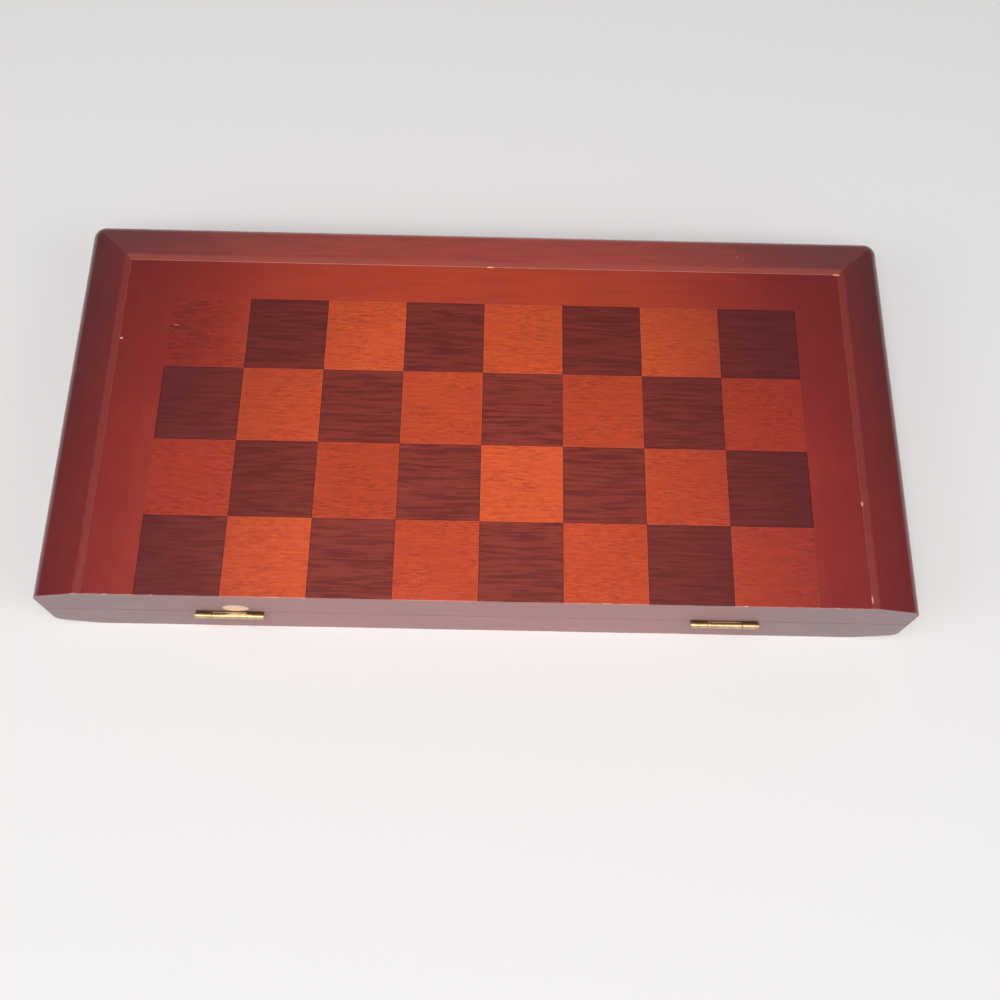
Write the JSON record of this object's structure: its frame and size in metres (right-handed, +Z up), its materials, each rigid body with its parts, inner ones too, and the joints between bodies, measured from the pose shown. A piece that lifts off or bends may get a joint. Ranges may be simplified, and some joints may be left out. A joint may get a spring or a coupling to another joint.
{
  "type": "folding games case",
  "caption": "Folding wooden case for board games: chequered half boards outside, backgammon field inside, two butt hinges along the front wall, game pieces in the tray.",
  "frame": {"origin": "middle of the underside, midway between the hinge wall and the back wall", "axes": "+X to the right along the hinge wall, +Y to the back, away from the hinges, +Z up"},
  "size_m": [0.397, 0.2, 0.046],
  "materials": {
    "frame_wood": "red-brown stained hardwood under gloss varnish, worn along the arrises",
    "core_plywood": "birch plywood, unfinished",
    "light_veneer": "orange-red light veneer, fine straight grain, gloss varnish",
    "dark_veneer": "dark brown veneer with wavy grain, gloss varnish",
    "border_veneer": "red-brown veneer, gloss varnish",
    "field_veneer": "mid brown veneer, satin varnish",
    "hinge_brass": "aged brass, slightly tarnished",
    "gold_foil": "thin gold foil, bare",
    "magnet_steel": "nickel-plated disc",
    "boxwood": "turned boxwood, waxed",
    "rosewood": "turned dark wood, waxed",
    "die_ivory": "cream resin, polished, dark pips"
  },
  "bodies": {
    "base": {"base_left_rail": "frame_wood", "base_right_rail": "frame_wood", "base_back_rail": "frame_wood", "base_hinge_rail": "frame_wood", "base_panel_core": "core_plywood", "base_light_squares": "light_veneer", "base_dark_squares": "dark_veneer", "base_border": "border_veneer", "base_field": "field_veneer", "base_light_points": "light_veneer", "base_dark_points": "dark_veneer", "base_magnets": "magnet_steel", "left_hinge_lower_leaf": "hinge_brass", "left_hinge_pin": "hinge_brass", "right_hinge_lower_leaf": "hinge_brass", "right_hinge_pin": "hinge_brass", "lower_hinge_screws": "hinge_brass", "light_stones": "boxwood", "dark_stones": "rosewood", "dice": "die_ivory", "light_king": "boxwood", "light_queen": "boxwood", "light_bishops": "boxwood", "light_knights": "boxwood", "light_rooks": "boxwood", "light_pawns": "boxwood", "dark_king": "rosewood", "dark_queen": "rosewood", "dark_bishops": "rosewood", "dark_knights": "rosewood", "dark_rooks": "rosewood", "dark_pawns": "rosewood"},
    "lid": {"lid_left_rail": "frame_wood", "lid_right_rail": "frame_wood", "lid_back_rail": "frame_wood", "lid_hinge_rail": "frame_wood", "lid_panel_core": "core_plywood", "lid_light_squares": "light_veneer", "lid_dark_squares": "dark_veneer", "lid_border": "border_veneer", "lid_field": "field_veneer", "lid_light_points": "light_veneer", "lid_dark_points": "dark_veneer", "lid_magnets": "magnet_steel", "left_hinge_upper_leaf": "hinge_brass", "right_hinge_upper_leaf": "hinge_brass", "upper_hinge_screws": "hinge_brass", "gold_seal": "gold_foil"}
  },
  "joints": [
    {"name": "lid_hinge", "type": "hinge", "parent": "base", "child": "lid", "pos_m": [0, -0.10035, 0.023], "axis": [1, 0, 0], "range_deg": [0, 180]}
  ]
}
